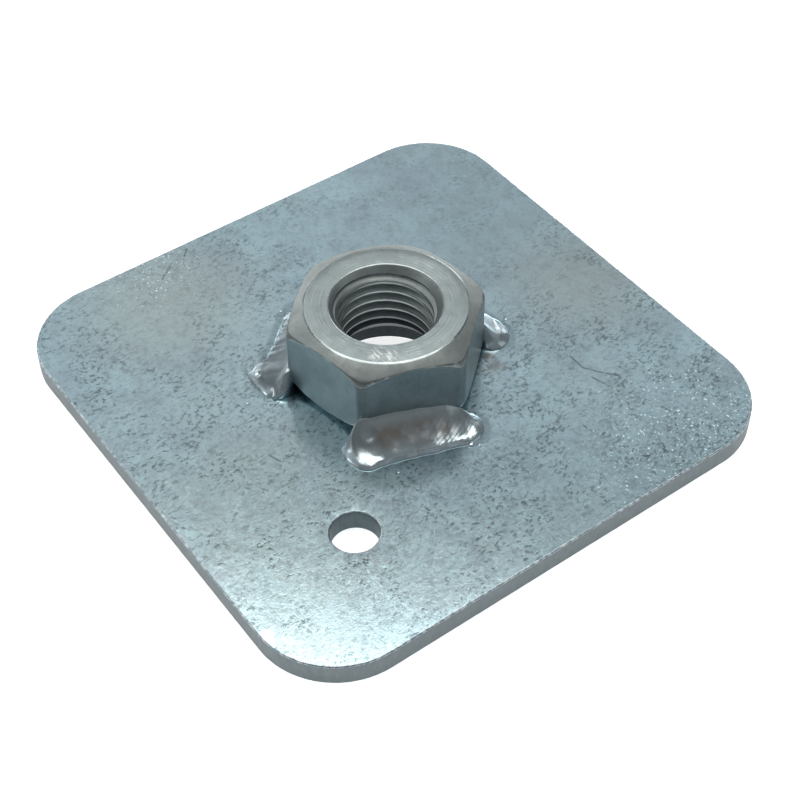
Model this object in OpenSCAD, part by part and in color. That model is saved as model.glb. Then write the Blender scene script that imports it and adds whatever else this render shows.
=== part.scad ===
// Plate nut: a square steel plate with a thick hexagon nut welded over its bolt hole.
// The origin is the centre of the plate's back face. +Z runs up the nut's axis.

/* [Plate] */
// side of the square plate
plate_side = 60; // [48:0.5:90]
// thickness of the plate
plate_t = 2.65; // [1.5:0.05:6]
// radius of the plate's four corners
plate_corner_r = 9; // [3:0.5:14]
// bevel that breaks the plate's outer edges
edge_break = 0.2; // [0.1:0.05:0.5]
// diameter of the bolt hole under the nut
bolt_hole_d = 14; // [12.5:0.5:16]
// diameter of the small locating hole
locating_hole_d = 5; // [3:0.1:7]
// sideways place of the locating hole
locating_hole_x = 16.5; // [15.5:0.1:20]
// front to back place of the locating hole
locating_hole_y = -15.8; // [-20:0.1:-15]

/* [Nut] */
// width of the nut across its flats
nut_af = 19; // [18:0.1:21]
// height of the nut
nut_h = 9.15; // [7:0.05:14]
// direction that the first welded flat faces
nut_turn = -19.4; // [-30:0.1:30]
// diameter of the bore at the tips of the thread
thread_minor_d = 9.9; // [8:0.1:11]
// diameter of the countersink at both ends of the bore
countersink_d = 12; // [11.2:0.1:13.5]
// depth of the countersink at both ends of the bore
countersink_depth = 1.5; // [0.5:0.1:2.5]
// diameter of the flat face inside the chamfer
chamfer_face_d = 17.2; // [16:0.1:17.9]
// slope of the chamfer, from the face of the nut
chamfer_angle = 30; // [20:1:50]

/* [Welds] */
// length of a bead along the plate
weld_length = 15.2; // [12:0.1:16]
// reach of a bead over the plate
weld_reach = 3.9; // [2.5:0.1:5]
// height of a bead up the nut
weld_height = 3.3; // [2:0.1:4.5]
// length of the rounded run at each end of a bead
weld_end_length = 2.8; // [2:0.1:5]
// distance of a bead's end tips from the flat
weld_tip_offset = 1.35; // [0.5:0.05:2]
// height of the rolled toe of a bead
weld_lip_h = 0.72; // [0.4:0.02:1.2]
// width of the rolled toe of a bead
weld_lip_w = 0.6; // [0.4:0.02:1.2]
// hollowness of a bead's face, flat at 1
weld_hollow = 1.25; // [1:0.05:2]
// height left at the fading end of a bead, as a share of the full height
weld_fade = 0.62; // [0.4:0.02:1]
// offset of the front bead along its flat
weld_front_shift = -0.4; // [-1:0.1:1]
// size of the front bead beside the nominal size
weld_front_scale = 1; // [0.8:0.01:1.1]
// size of the rear bead beside the nominal size
weld_rear_scale = 0.92; // [0.8:0.01:1.1]
// size of the left bead beside the nominal size
weld_left_scale = 1; // [0.8:0.01:1.15]

/* [Hidden] */
$fn = 96;
half = plate_side / 2;
core = half - plate_corner_r;
apothem = nut_af / 2;
corner_r = apothem / cos(30);
face_r = chamfer_face_d / 2;
chamfer_drop = (corner_r + 0.5 - face_r) * tan(chamfer_angle);
cut = 1;
weld_stations = 40;
weld_lip_facets = 6;
weld_face_facets = 8;
lip_roll = 78;

// half of the plate's section: a bar from the middle to an edge with both edges broken
module edge_section(reach) {
    polygon([
        [0, 0],
        [reach - edge_break, 0],
        [reach, edge_break],
        [reach, plate_t - edge_break],
        [reach - edge_break, plate_t],
        [0, plate_t]
    ]);
}

// one side strip of the plate, straight between two corners
module side_strip(turn) {
    rotate([0, 0, turn])
        translate([core, core, 0])
            rotate([90, 0, 0])
                linear_extrude(height = 2 * core)
                    edge_section(plate_corner_r);
}

// one rounded corner of the plate
module plate_corner(turn) {
    rotate([0, 0, turn])
        translate([core, core, 0])
            rotate_extrude(angle = 90)
                edge_section(plate_corner_r);
}

// square plate with rounded corners, a bolt hole and a locating hole
module base_plate() {
    color([0.66, 0.69, 0.72])
    difference() {
        union() {
            translate([-core, -core, 0])
                cube([2 * core, 2 * core, plate_t]);
            for (turn = [0, 90, 180, 270]) {
                side_strip(turn);
                plate_corner(turn);
            }
        }
        translate([0, 0, -cut])
            cylinder(d = bolt_hole_d, h = plate_t + 2 * cut);
        translate([locating_hole_x, locating_hole_y, -cut])
            cylinder(d = locating_hole_d, h = plate_t + 2 * cut);
    }
}

// round body that trims the corners of the nut at both ends
module chamfer_body() {
    rotate_extrude()
        polygon([
            [0, 0],
            [face_r, 0],
            [corner_r + 0.5, chamfer_drop],
            [corner_r + 0.5, nut_h - chamfer_drop],
            [face_r, nut_h],
            [0, nut_h]
        ]);
}

// bore at the thread's tips with a countersink at each end
module threaded_bore() {
    minor_r = thread_minor_d / 2;
    mouth_r = countersink_d / 2;
    flare = (mouth_r - minor_r) / countersink_depth;
    rotate_extrude()
        polygon([
            [0, -cut],
            [mouth_r + cut * flare, -cut],
            [minor_r, countersink_depth],
            [minor_r, nut_h - countersink_depth],
            [mouth_r + cut * flare, nut_h + cut],
            [0, nut_h + cut]
        ]);
}

// thick hexagon nut that stands on the plate
module hex_nut() {
    color([0.62, 0.64, 0.65])
    translate([0, 0, plate_t])
        rotate([0, 0, nut_turn + 30])
            difference() {
                intersection() {
                    cylinder(r = corner_r, h = nut_h, $fn = 6);
                    chamfer_body();
                }
                threaded_bore();
            }
}

// stations stand closer together near both ends
function station(i) = 0.5 - 0.5 * cos(180 * i / weld_stations);

// share of the full width at a place along a bead, rounded off over both ends
function end_round(s, total) =
    let (gap = min(s, total - s) / weld_end_length)
    gap >= 1 ? 1 : sqrt(max(0, 1 - pow(1 - gap, 2)));

// soft step from 0 at an end of a bead to 1 well inside it
function ease(s, total) =
    let (k = min(1, min(s, total - s) / (1.6 * weld_end_length)))
    k * k * (3 - 2 * k);

// share of the full height: steep at the start of a bead and fading towards its end
function height_share(q, share, soft) =
    (1 - (1 - weld_fade) * q * q) * (q < 0.5 ? pow(share, 0.6) : 0.42 * share + 0.58 * soft);

// rolled toe of a bead's section, from the plate upwards
function lip_points(toe, lip_w, lip_h) =
    [for (k = [0 : weld_lip_facets])
        let (a = lip_roll * k / weld_lip_facets)
        [toe - lip_w * (1 - cos(a)), lip_h * sin(a)]];

// hollow face of a bead's section, from the top of its toe to the nut
function face_points(from, heel, height, hollow) =
    [for (k = [1 : weld_face_facets])
        let (p = k / weld_face_facets)
        [from[0] + (heel - from[0]) * p, from[1] + (height - from[1]) * pow(p, hollow)]];

// closed ring of a bead at one station: the root first, then the toe and the face
function bead_ring(i, total, size) =
    let (
        q = station(i),
        share = 0.03 + 0.97 * end_round(q * total, total),
        soft = ease(q * total, total),
        tip = weld_tip_offset * size,
        toe = tip + (weld_reach * size - tip) * share,
        heel = tip * (1 - share),
        height = max(0.05, weld_height * size * height_share(q, share, soft)),
        lip_h = min(weld_lip_h * (1.35 - 0.35 * soft), 0.8 * height),
        lip_w = min(weld_lip_w * (1.6 - 0.6 * soft), 0.6 * (toe - heel)),
        lip = lip_points(toe, lip_w, lip_h),
        face = face_points(lip[weld_lip_facets], heel, height, weld_hollow + 0.75 * (1 - soft)),
        along = (q - 0.5) * total
    )
    [for (p = concat([[heel, 0]], lip, face)) [p[0], along, p[1]]];

// fillet weld bead along the X = 0 plane, full at its start and fading at its end
module bead_solid(size) {
    total = weld_length * (0.6 + 0.4 * size);
    ring = weld_lip_facets + weld_face_facets + 2;
    last = weld_stations * ring;
    points = [for (i = [0 : weld_stations]) each bead_ring(i, total, size)];
    skin = [for (i = [0 : weld_stations - 1])
        for (k = [0 : ring - 1])
            let (a = i * ring + k, b = i * ring + (k + 1) % ring)
            each [[a, a + ring, b], [b, a + ring, b + ring]]];
    start_cap = [[for (k = [0 : ring - 1]) k]];
    end_cap = [[for (k = [0 : ring - 1]) last + ring - 1 - k]];
    polyhedron(points = points, faces = concat(skin, start_cap, end_cap), convexity = 4);
}

// puts a bead against one flat of the nut, on the plate
module on_flat(turn, shift) {
    translate([0, 0, plate_t])
        rotate([0, 0, turn])
            translate([apothem, shift, 0])
                children();
}

// bead on the flat that faces the locating hole's side of the plate
module weld_front() {
    color([0.6, 0.6, 0.58])
    on_flat(nut_turn, weld_front_shift)
        bead_solid(weld_front_scale);
}

// bead on the second welded flat
module weld_rear() {
    color([0.6, 0.6, 0.58])
    on_flat(nut_turn + 120, 0)
        bead_solid(weld_rear_scale);
}

// bead on the third welded flat, laid the other way
module weld_left() {
    color([0.6, 0.6, 0.58])
    on_flat(nut_turn + 240, 0)
        mirror([0, 1, 0])
            bead_solid(weld_left_scale);
}

base_plate();
hex_nut();
weld_front();
weld_rear();
weld_left();
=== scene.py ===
"""Plate nut: a zinc-plated steel plate with a hexagon nut welded over its bolt hole."""
import math
from collections import namedtuple

import bpy
import numpy as np
from bpy.props import FloatProperty, FloatVectorProperty, IntProperty, PointerProperty
from mathutils import Matrix, Vector, noise
from mathutils.geometry import delaunay_2d_cdt


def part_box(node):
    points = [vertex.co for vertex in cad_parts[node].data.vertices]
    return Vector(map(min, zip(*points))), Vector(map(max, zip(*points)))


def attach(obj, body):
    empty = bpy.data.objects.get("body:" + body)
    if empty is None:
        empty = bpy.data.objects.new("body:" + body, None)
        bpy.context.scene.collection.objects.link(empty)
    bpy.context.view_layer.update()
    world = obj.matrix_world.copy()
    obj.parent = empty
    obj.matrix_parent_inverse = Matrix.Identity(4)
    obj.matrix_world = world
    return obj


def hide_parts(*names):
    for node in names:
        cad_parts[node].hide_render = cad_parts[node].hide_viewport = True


bl_info = {
    "name": "Plate Nut",
    "version": (1, 0, 0),
    "blender": (4, 5, 0),
    "location": "View3D > Sidebar > Plate Nut",
    "description": "Builds a welded plate nut with its finish, its light and its camera",
    "category": "Object",
}

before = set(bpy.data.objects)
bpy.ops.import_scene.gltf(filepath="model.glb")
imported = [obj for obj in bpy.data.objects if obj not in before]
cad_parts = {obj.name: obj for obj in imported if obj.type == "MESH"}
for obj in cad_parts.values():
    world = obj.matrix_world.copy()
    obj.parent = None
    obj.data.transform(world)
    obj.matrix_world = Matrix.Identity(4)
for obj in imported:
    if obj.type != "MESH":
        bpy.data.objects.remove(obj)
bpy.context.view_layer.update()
MM = 0.001

PLATE_LOW, PLATE_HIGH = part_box("base_plate")
NUT_LOW, NUT_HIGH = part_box("hex_nut")

# Top of the plate in millimetres, and the direction of the first welded flat in degrees
PLATE_TOP = PLATE_HIGH.z / MM
NUT_TURN = -19.4

# Finishes of the plate's skin, by their place in its list of materials
FACE, SHEARED, BOLT_WALL, RIM, HOLE_WALL = range(5)

# Handling scratches on the plate, each from one point to another, in millimetres
SCRATCHES = (
    ((-26.2, -12.5), (-27.6, -10.7)),
    ((-28.1, -8.5), (-29.0, -7.6)),
    ((8.1, 17.8), (8.6, 19.3)),
    ((10.6, 16.6), (12.8, 16.6)),
    ((12.8, 16.6), (14.6, 17.8)),
    ((14.6, 17.8), (15.8, 18.8)),
    ((14.3, 16.4), (16.5, 17.1)),
    ((19.1, 11.2), (20.1, 11.4)),
    ((22.0, 19.5), (23.2, 19.9)),
    ((3.1, -17.2), (4.5, -16.7)),
    ((-4.6, -16.0), (-3.8, -15.8)),
)

# Spatter beside the welds: across, to the back, radius, in millimetres
SPATTER = (
    (14.3, 0.3, 0.42),
    (14.9, 0.9, 0.20),
    (12.9, -7.9, 0.16),
    (-4.2, -15.1, 0.22),
    (2.1, 14.6, 0.18),
    (-13.8, -4.6, 0.20),
)

# Weld beads, one on every second flat. Scale is beside the nominal size, the rest is in millimetres.
# Shift runs along the flat, and hug keeps the rounded ends full against the nut
Bead = namedtuple("Bead", "place scale shift hug dimple bulge back_to_front")
Dimple = namedtuple("Dimple", "along out radius")
Bulge = namedtuple("Bulge", "along reach")
BEADS = (
    Bead("front", 1.0, -0.4, 0.0, Dimple(-4.6, 1.1, 0.55), Bulge(-5.6, 0.5), False),
    Bead("rear", 0.92, 0.0, 0.1, None, Bulge(-4.0, 0.1), False),
    Bead("left", 0.88, 0.3, 0.6, Dimple(4.6, 3.4, 0.30), Bulge(4.1, 1.3), True),
)
BEAD_STEP = 2 * math.pi / 3

# Rounded edge of the sheet, from its face to its wall: inset and drop as shares of the rounding
EDGE_STEPS = ((1.0, 0.0), (0.62, 0.03), (0.29, 0.29), (0.03, 0.62), (0.0, 1.0))

# Linear colours of small marks in the finishes, some of them painted glints and painted shade
PALE_ZINC_AND_SHEEN = (0.64, 0.745, 0.70)
FROST = (0.66, 0.90, 0.98)
PAINTED_GLINT = (0.86, 0.92, 0.94)
PAINTED_SPARKLE = (0.95, 0.97, 0.97)
RUBBED_ZINC = (0.66, 0.74, 0.78)
TURNED_LINE_GLINT = (0.80, 0.86, 0.87)
SCUFF = (0.92, 0.95, 0.95)
BORE_SHADE = (0.055, 0.065, 0.075)
WELD_SHADE = (0.13, 0.165, 0.18)
WHITE = (1.0, 1.0, 1.0)

# Soft lamps: name, azimuth and elevation in degrees, distance, width and height in metres,
# brightness beside a white surface, and for some a roll in degrees and a tint
LAMPS = (
    ("Ceiling lamp", 152.0, 76.0, 0.70, 0.62, 0.44, 3.0, -14.0, (1.0, 0.965, 0.925)),
    ("Back wall", 150.0, 33.0, 0.80, 1.30, 0.50, 0.36),
    ("Left wall", 200.0, 22.0, 0.80, 0.60, 0.60, 0.30),
    ("Low backdrop", 152.0, 17.0, 0.80, 1.50, 0.13, 2.0),
    ("Low window", 128.0, 17.0, 0.80, 0.20, 0.24, 2.6),
    ("Right wall", 42.0, 26.0, 0.80, 0.50, 0.40, 0.40),
    ("Left fill", -125.0, 42.0, 0.60, 0.30, 0.30, 0.30),
    ("Left lamp", -114.0, 27.0, 0.60, 0.24, 0.14, 1.8),
    ("Right fill", -4.0, 42.0, 0.60, 0.28, 0.28, 0.13),
)
ROOM_LEVEL, ROOM_TINT = 0.24, (0.94, 0.98, 1.0)

# Floor: half of its side and its drop below the part in metres, and its glow to the camera
FLOOR_REACH, FLOOR_DROP, FLOOR_GLOW = 3.0, 0.00002, 0.8

# Viewpoint of the photograph: its place over the plate's top in millimetres, the directions ahead
# of it and above it, its focal length and side in pixels, and the sensor's side in millimetres
CAMERA_PLACE = (98.59, -68.74, 123.88)
CAMERA_AHEAD = (-0.5540, 0.3953, -0.7327)
CAMERA_ABOVE = (-0.5885, 0.4365, 0.6805)
FOCAL_PIXELS, PHOTO_PIXELS, SENSOR = 1608.4, 800, 36.0


# Sizes and colours

def size(name, description, millimetres):
    """A length that a user may change, given in millimetres and held in metres."""
    return FloatProperty(
        name=name, description=description, default=millimetres * MM, min=0.0, precision=5, unit="LENGTH"
    )


def direction(name, description, degrees):
    """An angle that a user may change, given in degrees and held in radians."""
    return FloatProperty(name=name, description=description, default=math.radians(degrees), subtype="ANGLE")


def tone(name, description, rgb):
    """A linear colour that a user may change."""
    return FloatVectorProperty(
        name=name, description=description, default=rgb, size=3, min=0.0, max=1.0, subtype="COLOR"
    )


class PlateSizes(bpy.types.PropertyGroup):
    """Sizes of the square plate."""

    side: size("Side", "Side of the square plate", (PLATE_HIGH.x - PLATE_LOW.x) / MM)
    thickness: size("Thickness", "Thickness of the sheet", (PLATE_HIGH.z - PLATE_LOW.z) / MM)
    corner_radius: size("Corner radius", "Radius of the four corners", 9.0)
    edge_round: size("Edge round", "Rounding of the sheared edges", 0.2)
    edge_nick: size("Edge nicks", "Depth of the small nicks along the sheared edges", 0.06)
    bolt_hole: size("Bolt hole", "Diameter of the hole under the nut", 14.0)
    locating_hole: size("Locating hole", "Diameter of the small hole", 5.0)
    locating_x: size("Locating hole across", "Distance of the small hole from the middle, along X", 16.5)
    locating_y: size(
        "Locating hole to the front", "Distance of the small hole from the middle, along -Y", 15.8
    )


class NutSizes(bpy.types.PropertyGroup):
    """Sizes of the hexagon nut."""

    across_flats: size("Across flats", "Width over two opposite flats", 19.0)
    height: size("Height", "Height of the nut", (NUT_HIGH.z - NUT_LOW.z) / MM)
    turn: direction("Turn", "Direction that the first welded flat faces", NUT_TURN)
    face: size("Face", "Diameter of the flat face inside the chamfer", 17.2)
    chamfer: direction("Chamfer", "Slope of the chamfer from the face", 30.0)
    corner_round: size("Corner round", "Rounding of the six upright corners", 1.5)
    minor: size("Minor diameter", "Diameter at the tips of the thread", 9.9)
    major: size("Major diameter", "Diameter at the roots of the thread", 11.11)
    pitch: size("Pitch", "Distance from one thread turn to the next", 1.27)
    mouth: size("Mouth", "Diameter of the countersink at each end", 12.0)
    mouth_depth: size("Mouth depth", "Depth of the countersink at each end", 1.5)


class WeldSizes(bpy.types.PropertyGroup):
    """Sizes of the three weld beads."""

    length: size("Length", "Length of a bead along its flat", 15.2)
    reach: size("Reach", "Reach of a bead over the plate", 3.9)
    climb: size("Climb", "Height of a bead up the nut", 3.3)
    end_run: size("End run", "Length over which each end rounds off", 2.8)
    ripple: size("Ripple", "Height of the ripples left by the welding", 0.004)
    seed: IntProperty(name="Seed", description="Changes the unevenness of the beads", default=7)


class FinishColours(bpy.types.PropertyGroup):
    """Colours of the metal and of the stage."""

    zinc: tone("Zinc", "Bright zinc on the plate", (0.535, 0.73, 0.805))
    zinc_dull: tone("Dull zinc", "Duller clouds in the zinc", (0.44, 0.57, 0.645))
    fleck: tone("Flecks", "Dark pits under the zinc", (0.11, 0.165, 0.175))
    passivate: tone("Passivate", "Warm tint of the passivation", (0.58, 0.62, 0.56))
    edge: tone("Sheared edge", "Cut sides of the plate", (0.155, 0.185, 0.197))
    nut: tone("Nut", "Forged flats of the nut", (0.425, 0.49, 0.505))
    face: tone("Nut face", "Turned faces of the nut", (0.405, 0.472, 0.482))
    chamfer: tone("Nut chamfer", "Chamfer of the nut", (0.37, 0.415, 0.41))
    weld: tone("Weld", "Plated weld metal", (0.54, 0.65, 0.70))
    weld_face: tone("Weld face", "Duller upper face of a weld bead", (0.295, 0.33, 0.35))
    oxide: tone("Oxide", "Brown heat tint beside the welds", (0.22, 0.15, 0.10))
    floor: tone("Floor", "Plain floor under the part", (0.86, 0.86, 0.86))


class PlateNutSettings(bpy.types.PropertyGroup):
    """Everything that a user may change."""

    plate: PointerProperty(type=PlateSizes)
    nut: PointerProperty(type=NutSizes)
    weld: PointerProperty(type=WeldSizes)
    colours: PointerProperty(type=FinishColours)


# Mesh tools

def make_object(name, vertices, faces, materials, body="root"):
    """A smooth-shaded mesh object that rides on a body of the frame."""
    mesh = bpy.data.meshes.new(name)
    mesh.from_pydata([tuple(v) for v in vertices], [], faces)
    mesh.validate()
    mesh.polygons.foreach_set("use_smooth", [True] * len(mesh.polygons))
    for material in materials:
        mesh.materials.append(material)
    obj = bpy.data.objects.new(name, mesh)
    bpy.context.scene.collection.objects.link(obj)
    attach(obj, body)
    return obj


def weight_normals(obj):
    """Keeps flat faces flat beside their rounded edges."""
    modifier = obj.modifiers.new("Flat faces", "WEIGHTED_NORMAL")
    modifier.mode = "FACE_AREA"
    modifier.weight = 60


def grid_faces(rows, columns, wrap_rows, wrap_columns, first=0):
    """Quads over a grid of vertices that is stored row by row."""
    faces = []
    for i in range(rows if wrap_rows else rows - 1):
        for j in range(columns if wrap_columns else columns - 1):
            a, b = i * columns + j, i * columns + (j + 1) % columns
            c, d = (i + 1) % rows * columns + (j + 1) % columns, (i + 1) % rows * columns + j
            faces.append((first + a, first + b, first + c, first + d))
    return faces


def rough(x, y, z=0.0, scale=1.0):
    """Smooth noise from about -1 to 1 at a point given in millimetres."""
    return noise.noise(Vector((x * scale, y * scale, z * scale)))


# Shader tools

def opaque(colour):
    """A colour with its alpha."""
    return (*colour, 1.0)


def shade(colour, share):
    """A colour made darker or lighter by a factor."""
    return tuple(share * c for c in colour)


class Nodes:
    """A material that is put together from nodes."""

    def __init__(self, name):
        self.material = bpy.data.materials.new(name)
        self.material.use_nodes = True
        self.tree = self.material.node_tree

    def add(self, kind, settings=None, **inputs):
        """A node with its settings and inputs. An input is a value or another node's output."""
        node = self.tree.nodes.new(kind)
        for key, value in (settings or {}).items():
            setattr(node, key, value)
        for key, value in inputs.items():
            self.feed(node, key.replace("_", " "), value)
        return node

    def feed(self, node, name, value):
        """Sets an input or links another node's output to it. A name such as i0 is an input's number."""
        numbered = name[0] == "i" and name[1:].isdigit()
        socket = node.inputs[int(name[1:]) if numbered else name]
        if isinstance(value, bpy.types.NodeSocket):
            self.tree.links.new(value, socket)
        else:
            socket.default_value = value

    def math(self, operation, a, b):
        """Arithmetic on two values."""
        return self.add("ShaderNodeMath", {"operation": operation}, i0=a, i1=b).outputs["Value"]

    def times(self, first, *others):
        """The product of some values."""
        for value in others:
            first = self.math("MULTIPLY", first, value)
        return first

    def most(self, a, b):
        """The larger of two values."""
        return self.math("MAXIMUM", a, b)

    def rest(self, value):
        """What a value leaves of 1."""
        return self.math("SUBTRACT", 1.0, value)


class Finish(Nodes):
    """A metal finish on the object's own coordinates."""

    def __init__(self, name):
        super().__init__(name)
        self.shader = self.tree.nodes["Principled BSDF"]
        self.place = self.add("ShaderNodeTexCoord").outputs["Object"]

    def level(self, offset=(0.0, 0.0, 0.0)):
        """The place on the part without its height."""
        node = self.add("ShaderNodeMapping", Vector=self.place, Scale=(1.0, 1.0, 0.0), Location=offset)
        return node.outputs["Vector"]

    def upward(self, vector):
        """The upward part of a vector."""
        return self.add("ShaderNodeSeparateXYZ", Vector=vector).outputs["Z"]

    def clouds(self, size_mm, detail=3.0, roughness=0.55, stretch=(1.0, 1.0, 1.0), offset=(0.0, 0.0, 0.0)):
        """Noise from 0 to 1 with features of about that size."""
        place = self.add("ShaderNodeMapping", Vector=self.place, Scale=stretch, Location=offset)
        node = self.add(
            "ShaderNodeTexNoise", Vector=place.outputs["Vector"],
            Scale=1.0 / (size_mm * MM), Detail=detail, Roughness=roughness,
        )
        return node.outputs["Fac"]

    def step(self, value, low, high):
        """0 below low, 1 above high and smooth between them."""
        smooth = {"interpolation_type": "SMOOTHSTEP"}
        node = self.add("ShaderNodeMapRange", smooth, Value=value, From_Min=low, From_Max=high)
        return node.outputs["Result"]

    def spread(self, value, low, high):
        """A value from 0 to 1 turned into one from low to high."""
        node = self.add("ShaderNodeMapRange", Value=value, To_Min=low, To_Max=high)
        return node.outputs["Result"]

    def around(self, place, centre, inner_mm, outer_mm):
        """1 where a place is close to a centre and 0 away from it."""
        gap = self.add("ShaderNodeVectorMath", {"operation": "DISTANCE"}, i0=place, i1=centre)
        return self.rest(self.step(gap.outputs["Value"], inner_mm * MM, outer_mm * MM))

    def near(self, centre_mm, inner_mm, outer_mm):
        """1 close to a point of the part and 0 away from it."""
        return self.around(self.place, tuple(c * MM for c in centre_mm), inner_mm, outer_mm)

    def band(self, start_mm, end_mm, inner_mm, outer_mm):
        """1 along a straight line, seen from above, and 0 away from it."""
        start, end = Vector((*start_mm, 0.0)) * MM, Vector((*end_mm, 0.0)) * MM
        along = (end - start).normalized()
        level = self.level(-start)
        run = self.add("ShaderNodeVectorMath", {"operation": "DOT_PRODUCT"}, i0=level, i1=along)
        held = self.add("ShaderNodeClamp", Value=run.outputs["Value"], Min=0.0, Max=(end - start).length)
        reach = held.outputs["Result"]
        foot = self.add("ShaderNodeVectorMath", {"operation": "SCALE"}, i0=along, Scale=reach)
        return self.around(level, foot.outputs["Vector"], inner_mm, outer_mm)

    def blend(self, share, first, second):
        """Mixes two colours, which are the mix node's inputs 6 and 7 and its output 2."""
        node = self.add("ShaderNodeMix", {"data_type": "RGBA"}, i0=share)
        for key, colour in (("i6", first), ("i7", second)):
            linked = isinstance(colour, bpy.types.NodeSocket)
            self.feed(node, key, colour if linked else opaque(colour))
        return node.outputs[2]

    def coat(self, metal, colour, mask, strength):
        """Lays a colour over the metal where the mask is 1, covering it by the strength."""
        return self.blend(self.times(mask, strength), metal, colour)

    def bump(self, height, distance_mm, strength, below=None):
        """A normal for a height from 0 to 1 over that distance, on top of another normal."""
        node = self.add("ShaderNodeBump", Height=height, Distance=distance_mm * MM, Strength=strength)
        if below is not None:
            self.feed(node, "Normal", below)
        return node.outputs["Normal"]

    def done(self, colour, roughness, normal):
        """Links the finish to its metal shader."""
        self.feed(self.shader, "Base Color", colour)
        self.feed(self.shader, "Roughness", roughness)
        self.feed(self.shader, "Normal", normal)
        self.shader.inputs["Metallic"].default_value = 1.0
        return self.material


def plate_finish(colours):
    """Bright zinc on rolled sheet: clouds, dark flecks, painted sparkle and highlight, a warm tint, stains,
    scratches and soot rings that are partly painted shadow.
    """
    f = Finish("Zinc plate")

    def spot(across, back, inner, outer):
        """1 close to a place on the plate's top and 0 away from it, in millimetres."""
        return f.near((across, back, PLATE_TOP), inner, outer)

    # Broad clouds and tints; the paler front is partly passivation tint, partly painted highlight where the
    # lamp reflects
    cloud = f.step(f.clouds(5.5, 6.0, 0.66), 0.34, 0.68)
    metal = f.blend(cloud, colours.zinc, colours.zinc_dull)
    warm = f.step(f.clouds(26.0, 2.0, 0.5, offset=(0.013, 0.004, 0.0)), 0.50, 0.72)
    back_warm = f.most(spot(-22.0, -14.0, 3.0, 15.0), spot(2.0, 25.0, 2.0, 13.0))
    front_tint_and_sheen = f.times(spot(9.0, -22.5, 4.0, 19.0), f.step(f.clouds(9.0, 3.0, 0.6), 0.32, 0.58))
    metal = f.coat(metal, PALE_ZINC_AND_SHEEN, front_tint_and_sheen, 0.35)
    metal = f.blend(f.most(f.times(warm, 0.16), f.times(back_warm, 0.45)), metal, colours.passivate)
    metal = f.coat(metal, shade(colours.zinc_dull, 0.55), spot(-10.0, 31.0, 8.0, 30.0), 0.32)

    # Pale mottling, strongest towards the front
    mottle = f.step(f.clouds(0.6, 5.0, 0.75, offset=(0.0, 0.0, 0.01)), 0.42, 0.60)
    mottle = f.times(mottle, f.spread(spot(18.0, -14.0, 10.0, 40.0), 0.15, 1.0))
    metal = f.coat(metal, FROST, mottle, 0.42)

    # Dark flecks in clumps, fewer at the back and at the left, and soft smudges
    clump = f.step(f.clouds(4.2, 4.0, 0.62, offset=(0.03, 0.0, 0.0)), 0.40, 0.62)
    vein = f.step(f.clouds(0.36, 6.0, 0.74, stretch=(1.0, 0.66, 1.0)), 0.505, 0.58)
    bare = f.most(spot(-20.0, 20.0, 6.0, 34.0), spot(-26.0, -14.0, 3.0, 16.0))
    fleck = f.times(f.spread(clump, 0.24, 1.0), vein, f.rest(f.times(bare, 0.62)))
    metal = f.coat(metal, colours.fleck, fleck, 0.80)
    smudge = f.step(f.clouds(1.4, 5.0, 0.70, offset=(0.0, 0.02, 0.0)), 0.48, 0.70)
    metal = f.coat(metal, colours.fleck, smudge, 0.22)

    # Painted sparkle: fine glints all over, and bright specks where the plate is rubbed
    grain = f.clouds(0.22, 3.0, 0.65)
    metal = f.coat(metal, PAINTED_GLINT, f.step(grain, 0.60, 0.72), 0.5)
    rubbed = f.most(spot(28.0, 20.0, 4.0, 17.0), spot(-28.0, -13.0, 2.0, 9.0))
    speck = f.step(f.clouds(0.30, 2.0, 0.55, offset=(0.017, 0.0, 0.0)), 0.645, 0.71)
    speck = f.times(speck, f.spread(rubbed, 0.10, 0.62))
    metal = f.coat(metal, PAINTED_SPARKLE, speck, 0.85)

    # A brown stain, the scratches, and dark rings round the beads' toes, partly weld soot and partly painted
    # contact shadow
    stain = f.times(spot(5.6, 9.3, 0.6, 3.2), f.step(f.clouds(1.6, 4.0), 0.34, 0.62))
    metal = f.coat(metal, colours.oxide, stain, 0.62)
    scored = 0.0
    for start, end in SCRATCHES:
        scored = f.most(scored, f.band(start, end, 0.03, 0.17))
    scored = f.times(scored, f.step(f.clouds(0.5, 3.0, 0.6), 0.36, 0.52))
    metal = f.coat(metal, colours.fleck, scored, 0.75)
    soot_and_shadow_out, soot_and_shadow_half = 11.2, 5.4
    for flat in range(len(BEADS)):
        turn = math.radians(NUT_TURN) + flat * BEAD_STEP
        middle = Vector((math.cos(turn), math.sin(turn))) * soot_and_shadow_out
        side = Vector((-math.sin(turn), math.cos(turn))) * soot_and_shadow_half
        metal = f.coat(metal, colours.fleck, f.band(middle - side, middle + side, 2.1, 2.7), 0.35)

    # Gloss and relief
    gloss = f.spread(f.clouds(2.0, 5.0, 0.68), 0.13, 0.23)
    peel = f.bump(f.clouds(0.9, 4.0, 0.65), 0.02, 0.4)
    pits = f.bump(f.rest(f.most(fleck, scored)), 0.004, 0.3, peel)
    fine = f.bump(grain, 0.008, 0.45, pits)
    return f.done(metal, gloss, f.bump(speck, 0.03, 0.5, fine))


def edge_finish(name, colour, dark=0.0):
    """Plated shear face of the sheet: darker than the faces, with faint upright tear marks; the last argument
    adds painted shade.
    """
    f = Finish(name)
    tear = f.clouds(0.5, 4.0, 0.6, stretch=(1.0, 1.0, 0.35))
    cut = shade(colour, 1.0 - dark)
    metal = f.blend(f.step(tear, 0.30, 0.80), cut, shade(cut, 1.22))
    gloss = f.spread(f.clouds(0.9, 4.0), 0.44, 0.62)
    return f.done(metal, gloss, f.bump(tear, 0.03, 0.4))


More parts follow.
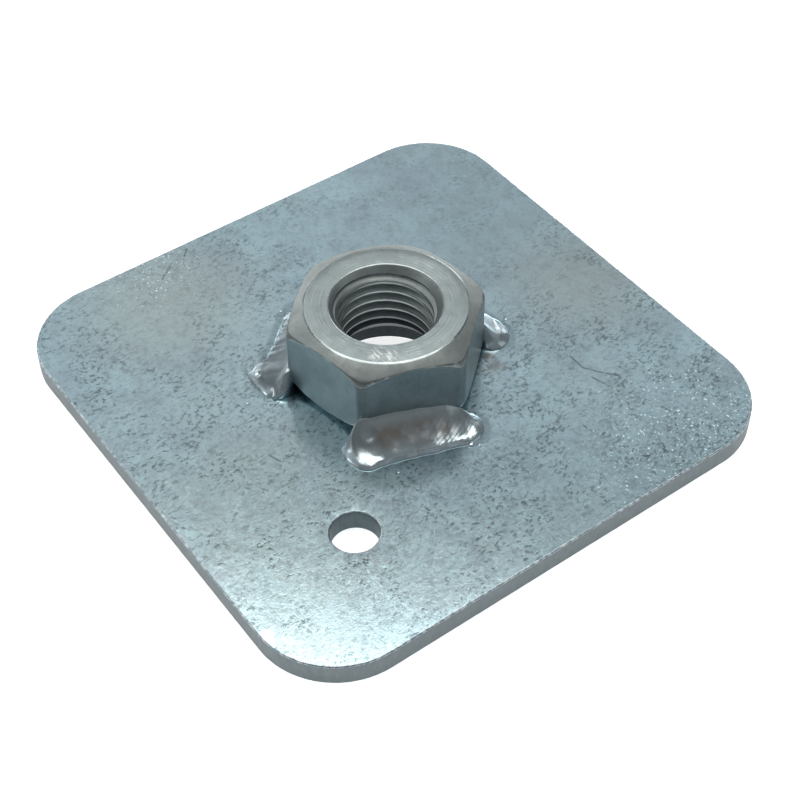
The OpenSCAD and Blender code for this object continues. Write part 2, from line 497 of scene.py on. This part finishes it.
def rim_finish(colours):
    """Rounded rim of the plate: zinc that is rubbed bright in places and dull in others."""
    f = Finish("Rubbed rim")
    rub = f.step(f.clouds(0.42, 5.0, 0.70), 0.45, 0.58)
    metal = f.blend(rub, shade(colours.zinc_dull, 0.62), RUBBED_ZINC)
    gloss = f.spread(f.clouds(0.5, 4.0, 0.65), 0.28, 0.50)
    return f.done(metal, gloss, f.bump(f.clouds(0.35, 4.0, 0.6), 0.05, 0.8))


def nut_finish(colours):
    """Plated nut: turned rings and scuffs on the faces, a warm chamfer and soft clouds on the flats."""
    f = Finish("Plated nut")

    # Where on the nut a point lies, by its distance from the axis, its slope and its height
    radius = f.add("ShaderNodeVectorMath", {"operation": "LENGTH"}, i0=f.level()).outputs["Value"]
    facing = f.upward(f.add("ShaderNodeNewGeometry").outputs["True Normal"])
    on_face = f.step(facing, 0.93, 0.985)
    on_chamfer = f.math("SUBTRACT", f.step(facing, 0.35, 0.6), on_face)
    on_edge = f.times(f.step(facing, 0.885, 0.925), f.rest(f.step(facing, 0.985, 0.998)))
    on_shoulder = f.times(f.step(facing, 0.05, 0.20), f.rest(f.step(facing, 0.70, 0.82)))
    inside = f.rest(f.step(radius, 6.05 * MM, 6.25 * MM))
    # Painted shade deep in the bore, darkest at the bottom
    bore_shade = f.times(inside, f.rest(f.step(f.upward(f.place), 3.6 * MM, 8.5 * MM)))

    # Clouds in the colour of each part of the nut
    cloud = f.step(f.clouds(2.6, 5.0, 0.65), 0.34, 0.70)
    metal = f.blend(cloud, colours.nut, shade(colours.nut, 0.80))
    metal = f.blend(on_chamfer, metal, f.blend(cloud, colours.chamfer, shade(colours.chamfer, 0.82)))
    metal = f.blend(on_face, metal, f.blend(cloud, colours.face, shade(colours.face, 0.86)))

    # Turned rings on the faces, their bright lines painted glints, and scuffs on the top one
    ring = f.add(
        "ShaderNodeTexNoise", {"noise_dimensions": "1D"},
        W=radius, Scale=1.0 / (0.20 * MM), Detail=4.0, Roughness=0.7,
    ).outputs["Fac"]
    patchy = f.step(f.clouds(2.2, 3.0, 0.6), 0.40, 0.60)
    ring_patch = f.times(on_face, patchy)
    metal = f.coat(metal, TURNED_LINE_GLINT, f.times(f.step(ring, 0.57, 0.66), ring_patch), 0.40)
    metal = f.coat(metal, shade(colours.face, 0.4), f.times(f.step(ring, 0.46, 0.38), ring_patch), 0.30)
    streak = f.step(f.clouds(0.42, 3.0, 0.6, stretch=(0.35, 2.2, 1.0)), 0.50, 0.60)
    metal = f.coat(metal, SCUFF, f.times(f.near((5.9, -4.5, 12.05), 0.9, 1.9), streak, on_face), 0.8)

    # Soot, a dark line round the faces, painted shade on the outer chamfer at the back, darker shoulders, and
    # painted shade deep in the bore
    soot = f.step(f.clouds(0.8, 6.0, 0.75), 0.50, 0.72)
    metal = f.coat(metal, shade(colours.nut, 0.35), soot, 0.34)
    edge_line = f.times(on_edge, f.step(f.clouds(1.1, 4.0, 0.6), 0.30, 0.55))
    metal = f.coat(metal, shade(colours.face, 0.4), edge_line, 0.5)
    # Painted shade on the outer chamfer at the back-left of the nut
    outer = f.times(f.step(radius, 7.5 * MM, 8.4 * MM), f.near((-6.5, 7.0, 11.3), 6.5, 14.0))
    metal = f.coat(metal, shade(colours.chamfer, 0.3), outer, 0.45)
    shoulder = f.times(on_shoulder, f.rest(inside), f.step(f.clouds(0.9, 4.0, 0.6), 0.30, 0.52))
    metal = f.coat(metal, shade(colours.chamfer, 0.3), shoulder, 0.8)
    metal = f.coat(metal, BORE_SHADE, bore_shade, 0.85)

    # Gloss and relief
    gloss = f.math("ADD", f.spread(f.clouds(1.2, 4.0), 0.24, 0.38), f.times(on_chamfer, 0.14))
    gloss = f.math("SUBTRACT", gloss, f.times(on_edge, 0.26))
    gloss = f.math("ADD", gloss, f.times(shoulder, 0.20))
    turned = f.times(f.math("SUBTRACT", ring, 0.5), f.times(on_face, f.spread(patchy, 0.25, 1.0)))
    rings = f.bump(turned, 0.04, 0.5)
    return f.done(metal, gloss, f.bump(f.clouds(0.4, 4.0, 0.6), 0.025, 0.5, rings))


def weld_finish(colours, base_mm):
    """Plated weld metal: bright and glossy at its rolled toe, duller with heat tint up its face, and darker
    low on the left bead by painted shade.
    """
    f = Finish("Plated weld")
    height = f.upward(f.place)

    def above(low, high):
        """0 below one height over the plate and 1 above another, in millimetres."""
        return f.step(height, (base_mm + low) * MM, (base_mm + high) * MM)

    up_face = above(0.40, 1.1)
    cloud = f.step(f.clouds(1.8, 5.0, 0.62), 0.34, 0.70)
    metal = f.blend(cloud, colours.weld, shade(colours.weld, 0.78))
    metal = f.coat(metal, colours.weld_face, up_face, 0.7)
    heat = f.times(f.band((9.4, -7.0), (11.3, -1.5), 0.3, 1.6), f.step(f.clouds(2.0, 4.0, 0.6), 0.30, 0.58))
    spots = f.step(f.clouds(1.5, 3.0, 0.6, offset=(0.002, 0.011, 0.0)), 0.60, 0.70)
    metal = f.coat(metal, colours.oxide, f.most(heat, f.times(spots, 0.14)), 0.55)
    # Painted shade low on the left bead's face
    left_bead_shade = f.times(f.band((-13.1, -2.0), (-5.4, -10.8), 1.4, 2.4), above(0.25, 0.7))
    metal = f.coat(metal, WELD_SHADE, left_bead_shade, 0.8)
    metal = f.coat(metal, shade(colours.nut, 0.8), above(1.9, 3.1), 0.85)
    gloss = f.math("ADD", f.spread(f.clouds(0.9, 4.0), 0.14, 0.26), f.times(up_face, 0.10))
    return f.done(metal, gloss, f.bump(f.clouds(0.5, 4.0, 0.6), 0.035, 0.4))


# Plate

def plate_outline(sizes):
    """Points and outward directions round the plate, in metres."""
    corner_steps, side_steps = 24, 70
    radius = sizes.corner_radius
    core = sizes.side / 2 - radius
    points, outward = [], []
    for quarter in range(4):
        turn = quarter * math.pi / 2
        corner = turn + math.pi / 4
        centre = (math.copysign(core, math.cos(corner)), math.copysign(core, math.sin(corner)))
        for k in range(corner_steps + 1):
            a = turn + (k / corner_steps) * math.pi / 2
            points.append((centre[0] + radius * math.cos(a), centre[1] + radius * math.sin(a)))
            outward.append((math.cos(a), math.sin(a)))
        a = turn + math.pi / 2
        start = points[-1]
        along = (-math.sin(a), math.cos(a))
        for k in range(1, side_steps):
            s = 2 * core * k / side_steps
            points.append((start[0] + along[0] * s, start[1] + along[1] * s))
            outward.append((math.cos(a), math.sin(a)))
    return np.array(points), np.array(outward)


def ring_outline(x, y, radius, count):
    """Points and inward directions round a hole, in metres."""
    a = np.linspace(0.0, 2 * math.pi, count, endpoint=False)
    outward = np.stack([np.cos(a), np.sin(a)], 1)
    return np.array([x, y]) + radius * outward, -outward


def wall_rings(points, outward, thickness, edge, nick, seed):
    """Rings of a wall from the top face over its rounded edges to the back face."""
    profile = [(inset * edge, thickness - drop * edge, 1.0) for inset, drop in EDGE_STEPS]
    profile += [(0.0, thickness * share, 0.4) for share in (0.7, 0.5, 0.3)]
    profile += [(inset * edge, drop * edge, 0.6) for inset, drop in reversed(EDGE_STEPS)]
    rings = []
    for inset, z, worn in profile:
        ring = []
        for (x, y), (nx, ny) in zip(points, outward):
            u, v = x / MM, y / MM
            bite = max(0.0, rough(u, v, z / MM + seed, 0.9)) + 0.5 * max(0.0, rough(u, v, seed, 3.1))
            depth = inset + nick * worn * bite * 0.6
            ring.append((x - nx * depth, y - ny * depth, z))
        rings.append(ring)
    return rings


def face_triangles(outer, holes, corner, spacing):
    """Points and triangles of a flat face inside a rounded square and outside round holes.

    A hole is its ring, its centre and its radius. The points of the rings come first.
    """
    points, edges = [], []
    for ring in (outer, *(hole[0] for hole in holes)):
        first = len(points)
        points += [Vector(p[:2]) for p in ring]
        edges += [(first + i, first + (i + 1) % len(ring)) for i in range(len(ring))]
    reach = max(abs(p.x) for p in points)
    count = int(2 * reach / spacing)
    for i in range(1, count):
        for j in range(1, count):
            p = Vector((-reach + 2 * reach * (i + 0.5 * (j % 2)) / count, -reach + 2 * reach * j / count))
            over = Vector((max(abs(p.x) - reach + corner, 0.0), max(abs(p.y) - reach + corner, 0.0)))
            if over.length > corner - spacing or max(abs(p.x), abs(p.y)) > reach - spacing:
                continue
            if all((p - Vector(centre)).length > radius + spacing for _, centre, radius in holes):
                points.append(p)
    merge_distance, inside_share = 1e-9, 0.9995
    made = delaunay_2d_cdt(points, edges, [], 0, merge_distance)
    triangles = []
    for tri in made[2]:
        middle = sum((made[0][k] for k in tri), Vector((0.0, 0.0))) / 3
        if all((middle - Vector(centre)).length > radius * inside_share for _, centre, radius in holes):
            triangles.append(tri)
    return made[0], triangles


def build_plate(sizes, colours):
    """The plate as one closed skin with rounded, slightly nicked edges."""
    t, edge, nick = sizes.thickness, sizes.edge_round, sizes.edge_nick
    bolt_place, hole_place = (0.0, 0.0), (sizes.locating_x, -sizes.locating_y)
    bolt_r, hole_r = sizes.bolt_hole / 2, sizes.locating_hole / 2
    bolt_steps, hole_steps, rim_rows, spacing = 160, 112, 3, 1.5 * MM
    walls = [
        wall_rings(*plate_outline(sizes), t, edge, nick, 3.0),
        wall_rings(*ring_outline(*bolt_place, bolt_r, bolt_steps), t, edge * 0.6, 0.0, 5.0),
        wall_rings(*ring_outline(*hole_place, hole_r, hole_steps), t, edge * 0.9, nick * 0.5, 8.0),
    ]
    vertices, faces, kinds, starts = [], [], [], []
    for wall, cut in zip(walls, (SHEARED, BOLT_WALL, HOLE_WALL)):
        rows, columns = len(wall), len(wall[0])
        starts.append(len(vertices))
        quads = grid_faces(rows, columns, False, True, len(vertices))
        vertices += [p for ring in wall for p in ring]
        faces += [q[::-1] for q in quads] if cut == SHEARED else quads
        last = rows - 1 - rim_rows
        kinds += [cut if rim_rows <= k // columns < last else RIM for k in range(len(quads))]
    for row, z in ((0, t), (-1, 0.0)):
        holes = [
            (walls[1][row], bolt_place, bolt_r + edge * 0.5),
            (walls[2][row], hole_place, hole_r + edge * 0.5),
        ]
        flat, triangles = face_triangles(walls[0][row], holes, sizes.corner_radius, spacing)
        # The rims of the face are rings of the walls, and only its inner points are new
        places = []
        for wall, start in zip(walls, starts):
            first = start + (row % len(wall)) * len(wall[0])
            places += range(first, first + len(wall[0]))
        inner = flat[len(places):]
        places += range(len(vertices), len(vertices) + len(inner))
        vertices += [(p.x, p.y, z) for p in inner]
        for tri in triangles:
            corners = tuple(places[k] for k in tri)
            faces.append(corners if row == 0 else corners[::-1])
            kinds.append(FACE)
    finishes = [
        plate_finish(colours),
        edge_finish("Sheared edge", colours.edge),
        # The walls of both holes are darkened further by painted shade
        edge_finish("Bolt hole wall", colours.edge, 0.75),
        rim_finish(colours),
        edge_finish("Locating hole wall", colours.zinc, 0.82),
    ]
    obj = make_object("plate_skin", vertices, faces, finishes)
    obj.data.polygons.foreach_set("material_index", kinds)
    weight_normals(obj)
    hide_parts("base_plate")


# Nut

def nut_angles(turn, per_flat=56):
    """Directions round the nut, closer together at the six corners."""
    s = np.linspace(-1.0, 1.0, per_flat, endpoint=False)
    spread = math.pi / 6 * (0.35 * s + 0.65 * np.sin(s * math.pi / 2))
    return np.concatenate([turn + k * math.pi / 3 + spread for k in range(6)])


def hexagon_radius(angle, turn, apothem, round_r):
    """Distance from the axis to a hexagon with rounded corners."""
    local = (angle - turn + math.pi / 6) % (math.pi / 3) - math.pi / 6
    flat = apothem / np.cos(local)
    corner = math.pi / 6 - np.abs(local)
    centre = (apothem - round_r) / math.cos(math.pi / 6)
    arc = centre * np.cos(corner) + np.sqrt(np.maximum(round_r ** 2 - (centre * np.sin(corner)) ** 2, 0.0))
    limit = np.arctan2((apothem - round_r) * math.tan(math.pi / 6), apothem)
    return np.where(np.abs(local) <= limit, flat, arc)


def chamfer_wear(angle):
    """Unevenness of the chamfer's outer edge in one direction, in metres."""
    x, y = 11 * math.cos(angle), 11 * math.sin(angle)
    return (0.10 * rough(x, y, 3.0, 0.5) + 0.05 * rough(x, y, 8.0, 1.6)) * MM


def round_profile(corners, rounds, steps=4):
    """Rounds each inner corner of a profile. Corners hold (radius, height) for every direction."""
    rows = [corners[0]]
    for before, corner, after, reach in zip(corners, corners[1:], corners[2:], rounds):
        to_before, to_after = before - corner, after - corner
        long_before = np.linalg.norm(to_before, axis=1, keepdims=True)
        long_after = np.linalg.norm(to_after, axis=1, keepdims=True)
        cut = np.minimum(np.minimum(long_before, long_after) * 0.45, reach)
        start, end = corner + to_before / long_before * cut, corner + to_after / long_after * cut
        for k in range(steps + 1):
            q = k / steps
            rows.append((1 - q) ** 2 * start + 2 * q * (1 - q) * corner + q ** 2 * end)
    rows.append(corners[-1])
    return rows


def thread_radius(angle, height, sizes):
    """Distance from the axis to the right-hand thread, opened by the countersinks at both ends."""
    crest, flank, softness = 0.22, 0.62, 0.35
    phase = (height / sizes.pitch - angle / (2 * math.pi)) % 1.0
    side = np.abs(phase - 0.5) * 2
    depth = np.clip((side - crest) / flank, 0.0, 1.0)
    depth = depth * depth * (3 - 2 * depth) * softness + depth * (1 - softness)
    thread = sizes.minor / 2 + (sizes.major - sizes.minor) / 2 * depth
    end = np.minimum(height, sizes.height - height)
    cone = sizes.mouth / 2 - (sizes.mouth - sizes.minor) / 2 * end / sizes.mouth_depth
    return np.maximum(thread, cone)


def build_nut(sizes, base, colours):
    """The nut as one closed skin with chamfers, countersinks and a helical thread."""
    angle = nut_angles(sizes.turn)
    apothem, h = sizes.across_flats / 2, sizes.height
    face, mouth = sizes.face / 2, sizes.mouth / 2
    outer = hexagon_radius(angle, sizes.turn, apothem, sizes.corner_round)
    drop = (outer - face) * math.tan(sizes.chamfer)
    worn = np.array([chamfer_wear(a) for a in angle])
    lip, thread_rows = 0.35 * MM, 152
    throat = mouth - (sizes.mouth - sizes.minor) / 2 / sizes.mouth_depth * lip

    def ring(radius, height):
        """Radius and height of a ring in every direction."""
        return np.stack([np.broadcast_to(radius, angle.shape), np.broadcast_to(height, angle.shape)], 1)

    corners = [
        ring(throat, h - lip), ring(mouth, h), ring(face, h), ring(outer, h - drop + worn),
        ring(outer, drop + worn), ring(face, 0.0), ring(mouth, 0.0), ring(throat, lip),
    ]
    crown = ((outer - apothem) / (outer.max() - apothem))[:, None]
    shoulder = (0.10 + 0.60 * crown ** 2) * MM
    rounds = (0.14 * MM, 0.20 * MM, shoulder, shoulder, 0.20 * MM, 0.12 * MM)
    rows = round_profile(corners, rounds)
    heights = np.linspace(lip, h - lip, thread_rows)[1:-1]
    rows += [ring(thread_radius(angle, z, sizes), z) for z in heights]
    grid = np.stack(rows)
    x, y = grid[..., 0] * np.cos(angle), grid[..., 0] * np.sin(angle)
    vertices = np.stack([x, y, grid[..., 1] + base], 2).reshape(-1, 3)
    faces = [q[::-1] for q in grid_faces(len(rows), len(angle), True, True)]
    obj = make_object("nut_skin", vertices, faces, [nut_finish(colours)])
    weight_normals(obj)
    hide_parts("hex_nut")


# Welds

def soft_step(x):
    """0 below 0, 1 above 1 and smooth between them, for an array."""
    x = np.clip(x, 0.0, 1.0)
    return x * x * (3 - 2 * x)


def end_steps(count):
    """Shares from 0 to 1 that lie closer together near both ends."""
    return 0.5 - 0.5 * np.cos(math.pi * np.arange(count) / (count - 1))


def bead_heights(along, out, lead, share, tall, toe, crest, outline, sizes, scale, seed):
    """Height of a bead over the plate: a domed rim round its outline and a hollow face up to the nut."""
    u = along[:, 0] / MM
    lively = np.array([[1 + 0.05 * rough(v, seed, 9.0, 0.5), 2.5 * rough(v, seed, 2.0, 0.7)] for v in u])
    started = lead < 0.5

    # Climb up the nut: steep at the start of the bead and fading towards its end
    climb = sizes.climb * scale * (1 - 0.38 * lead ** 2) * lively[:, :1]
    climb = climb * np.where(started, share ** 0.6, 0.42 * share + 0.58 * tall)

    # Domed rim, by the distance from the outline
    rim_wide = (0.42 + np.where(started, 1.45, 0.70) * (1 - tall)) * MM
    rim_high = np.minimum((0.34 + np.where(started, 0.46, 0.20) * (1 - tall)) * MM, 0.8 * climb)
    place = np.stack([np.broadcast_to(along, out.shape), out], 2)
    inside = np.min(np.linalg.norm(place[:, :, None, :] - outline[None, None, :, :], axis=3), axis=2)
    dome = np.sqrt(1 - (1 - np.minimum(inside / rim_wide, 1.0)) ** 2)

    # Hollow face from the rim to the nut
    up_face = np.clip((toe - out) / np.maximum(toe - crest, 1e-6), 0.0, 1.0)
    hollow = 1.0 + np.where(started, 2.6, 0.6) * (1 - tall)
    sweep = 0.76 * up_face ** hollow + 0.24 * (1 - np.sqrt(1 - up_face ** 2))
    held = soft_step(inside / ((0.40 + 0.90 * (1 - tall)) * MM))
    height = rim_high * dome + np.maximum(climb - rim_high, 0.0) * sweep * held

    # Curved ripples on the later part, and lumps
    lines = np.clip((lead - 0.35) * 3.0, 0.0, 1.0)
    wave = np.sin((along / MM - 5.0 * np.sqrt(up_face)) * 10.5 + lively[:, 1:]) * sizes.ripple * lines
    lump = np.array([[0.07 * MM * rough(v, 4.0 * k, seed, 0.9) for k in row] for v, row in zip(u, up_face)])
    return height + (wave + lump) * held


def dimple_depth(dimple, along, out):
    """Depth of a dimple with a raised rim, in metres."""
    far = np.hypot((along / MM - dimple.along) / dimple.radius, (out / MM - dimple.out) / dimple.radius / 0.8)
    return dimple.radius * MM * (0.26 * np.exp(-far ** 2) - 0.08 * np.exp(-3 * (far - 1.6) ** 2))


def build_bead(bead, flat, settings, material):
    """One fillet weld bead along a flat of the nut, set slightly into the plate."""
    sizes, apothem, base = settings.weld, settings.nut.across_flats / 2, settings.plate.thickness
    place, scale, seed = bead.place, bead.scale, sizes.seed + flat * 11.3
    rows, columns = 240, 64
    sink, root = 0.05 * MM, 0.9 * MM
    length = sizes.length * (0.6 + 0.4 * scale)
    q, s = end_steps(rows)[:, None], end_steps(columns)[None, :]
    along = (q - 0.5) * length
    lead = 1 - q if bead.back_to_front else q
    gap = np.minimum(q, 1 - q) * length / sizes.end_run
    share = np.sqrt(1 - (1 - np.minimum(gap, 1.0)) ** 2)
    tall = soft_step(gap / 1.6)

    # Outline on the plate, from the toe to the heel, which runs into the nut between the rounded ends
    u = along[:, 0] / MM
    uneven = np.array([[1 + 0.04 * rough(v, seed, 0.0, 0.5) + 0.025 * rough(v, seed, 4.0, 1.7)] for v in u])
    bulge = bead.bulge.reach * MM * np.exp(-((along / MM - bead.bulge.along) / 1.6) ** 2)
    reach = sizes.reach * scale * uneven + bulge
    middle = 1.35 * MM * scale
    toe = middle + (reach - middle) * share
    heel = middle - (middle + root) * share
    crest = middle * (1 - share)
    out = toe + (heel - toe) * s
    free = (gap < 0.95)[:, 0]
    outline = np.concatenate([np.hstack([along, toe]), np.hstack([along, heel - bead.hug * MM])[free]])

    height = bead_heights(along, out, lead, share, tall, toe, crest, outline, sizes, scale, seed)
    if bead.dimple is not None:
        height = height - dimple_depth(bead.dimple, along, out)
    height[:, 0] = height[:, -1] = 0.0
    spin = Matrix.Rotation(settings.nut.turn + flat * BEAD_STEP, 4, "Z")
    vertices = [
        spin @ Vector((apothem + out[i, j], along[i, 0] + bead.shift * MM, base + height[i, j] - sink))
        for i in range(rows) for j in range(columns)
    ]
    faces = [f[::-1] for f in grid_faces(rows, columns, False, True)]
    obj = make_object(f"bead_{place}", vertices, faces, [material])
    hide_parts(f"weld_{place}")


def build_spatter(base, material):
    """Small drops of weld metal that stuck to the plate beside the beads."""
    vertices, faces = [], []
    rows, columns = 7, 16
    flatness, sink = 0.62, 0.02 * MM
    for x, y, radius in SPATTER:
        first = len(vertices)
        for i in range(rows):
            a = math.pi / 2 * i / (rows - 1)
            z = base + flatness * radius * MM * math.sin(a) - sink
            for j in range(columns):
                b = 2 * math.pi * j / columns
                r = radius * math.cos(a) * (1 + 0.15 * rough(x + i, y + j, radius, 0.4)) * MM
                vertices.append((x * MM + r * math.cos(b), y * MM + r * math.sin(b), z))
        faces += grid_faces(rows, columns, False, True, first)
    obj = make_object("weld_spatter", vertices, faces, [material])


# Stage

def floor_finish(colour):
    """A pale paint that shows as white to the camera and in reflections, and takes shadows."""
    f = Nodes("Pale floor")
    f.tree.nodes.clear()
    path = f.add("ShaderNodeLightPath").outputs
    seen = f.most(f.most(path["Is Camera Ray"], path["Is Glossy Ray"]), path["Is Transmission Ray"])
    glow = f.add("ShaderNodeEmission", Color=opaque(WHITE), Strength=f.times(seen, FLOOR_GLOW))
    paint = f.add("ShaderNodeBsdfDiffuse", Color=opaque(colour))
    both = f.add("ShaderNodeAddShader", i0=glow.outputs[0], i1=paint.outputs[0])
    f.add("ShaderNodeOutputMaterial", Surface=both.outputs[0])
    return f.material


def build_floor(colour):
    """A plain pale floor just below the part."""
    r = FLOOR_REACH
    mesh = bpy.data.meshes.new("floor")
    mesh.from_pydata([(-r, -r, 0), (r, -r, 0), (r, r, 0), (-r, r, 0)], [], [(0, 1, 2, 3)])
    mesh.materials.append(floor_finish(colour))
    floor = bpy.data.objects.new("floor", mesh)
    floor.location.z = -FLOOR_DROP
    bpy.context.scene.collection.objects.link(floor)


def soft_box(name, azimuth, elevation, distance, width, height, level, roll=0.0, tint=WHITE):
    """An oblong soft lamp that looks at the part. Level is its brightness beside a white surface."""
    lamp = bpy.data.lights.new(name, "AREA")
    lamp.shape = "RECTANGLE"
    lamp.size, lamp.size_y = width, height
    lamp.energy = level * math.pi * width * height
    lamp.color = tint
    obj = bpy.data.objects.new(name, lamp)
    a, e = math.radians(azimuth), math.radians(elevation)
    back = Vector((math.cos(a) * math.cos(e), math.sin(a) * math.cos(e), math.sin(e)))
    obj.location = back * distance
    turn = back.to_track_quat("Z", "Y").to_matrix() @ Matrix.Rotation(math.radians(roll), 3, "Z")
    obj.rotation_euler = turn.to_euler()
    bpy.context.scene.collection.objects.link(obj)


def build_world(level, tint):
    """An even, dim room round the part."""
    world = bpy.data.worlds.new("Studio")
    bpy.context.scene.world = world
    world.use_nodes = True
    room = world.node_tree.nodes["Background"]
    room.inputs["Color"].default_value = opaque(tint)
    room.inputs["Strength"].default_value = level


def build_camera(base):
    """The photograph's viewpoint."""
    data = bpy.data.cameras.new("Camera")
    data.sensor_width = SENSOR
    data.lens = FOCAL_PIXELS / PHOTO_PIXELS * SENSOR
    data.clip_start, data.clip_end = 0.005, 10.0
    camera = bpy.data.objects.new("Camera", data)
    ahead, above = Vector(CAMERA_AHEAD).normalized(), Vector(CAMERA_ABOVE)
    above = (above - ahead * above.dot(ahead)).normalized()
    turn = Matrix((ahead.cross(above), above, -ahead)).transposed()
    place = Vector(CAMERA_PLACE) * MM + Vector((0.0, 0.0, base))
    camera.matrix_world = Matrix.Translation(place) @ turn.to_4x4()
    bpy.context.scene.collection.objects.link(camera)
    bpy.context.scene.camera = camera


# Operators

class PLATENUT_OT_plate(bpy.types.Operator):
    """Builds the zinc-plated square plate"""

    bl_idname = "platenut.plate"
    bl_label = "Plate"

    def execute(self, context):
        settings = context.scene.plate_nut
        build_plate(settings.plate, settings.colours)
        return {"FINISHED"}


class PLATENUT_OT_nut(bpy.types.Operator):
    """Builds the hexagon nut with its thread"""

    bl_idname = "platenut.nut"
    bl_label = "Nut"

    def execute(self, context):
        settings = context.scene.plate_nut
        build_nut(settings.nut, settings.plate.thickness, settings.colours)
        return {"FINISHED"}


class PLATENUT_OT_welds(bpy.types.Operator):
    """Builds the three weld beads between the nut and the plate, and the spatter beside them"""

    bl_idname = "platenut.welds"
    bl_label = "Weld beads"

    def execute(self, context):
        settings = context.scene.plate_nut
        base = settings.plate.thickness
        finish = weld_finish(settings.colours, base / MM)
        for flat, bead in enumerate(BEADS):
            build_bead(bead, flat, settings, finish)
        build_spatter(base, finish)
        return {"FINISHED"}


class PLATENUT_OT_stage(bpy.types.Operator):
    """Builds the floor, the light and the camera"""

    bl_idname = "platenut.stage"
    bl_label = "Stage"

    def execute(self, context):
        settings = context.scene.plate_nut
        context.scene.view_settings.view_transform = "Standard"
        build_floor(settings.colours.floor)
        build_world(ROOM_LEVEL, ROOM_TINT)
        for lamp in LAMPS:
            soft_box(*lamp)
        build_camera(settings.plate.thickness)
        return {"FINISHED"}


class PLATENUT_PT_sidebar(bpy.types.Panel):
    """Lists the sizes, the colours and the pieces"""

    bl_label = "Plate Nut"
    bl_idname = "PLATENUT_PT_sidebar"
    bl_space_type = "VIEW_3D"
    bl_region_type = "UI"
    bl_category = "Plate Nut"

    def draw(self, context):
        settings = context.scene.plate_nut
        for label, group in (
            ("Plate", settings.plate), ("Nut", settings.nut),
            ("Welds", settings.weld), ("Colours", settings.colours),
        ):
            box = self.layout.box()
            box.label(text=label)
            for key in group.__annotations__:
                box.prop(group, key)
        for operator in OPERATORS:
            self.layout.operator(operator.bl_idname)


OPERATORS = (PLATENUT_OT_plate, PLATENUT_OT_nut, PLATENUT_OT_welds, PLATENUT_OT_stage)
GROUPS = (PlateSizes, NutSizes, WeldSizes, FinishColours, PlateNutSettings)
CLASSES = (*GROUPS, *OPERATORS, PLATENUT_PT_sidebar)


def register():
    """Registers the classes and hangs the settings on the scene."""
    for cls in CLASSES:
        bpy.utils.register_class(cls)
    bpy.types.Scene.plate_nut = PointerProperty(type=PlateNutSettings)


def unregister():
    """Takes the settings and the classes away again."""
    del bpy.types.Scene.plate_nut
    for cls in reversed(CLASSES):
        bpy.utils.unregister_class(cls)


def main():
    """Builds every piece and the stage."""
    register()
    bpy.ops.platenut.plate()
    bpy.ops.platenut.nut()
    bpy.ops.platenut.welds()
    bpy.ops.platenut.stage()


if __name__ == "__main__":
    main()
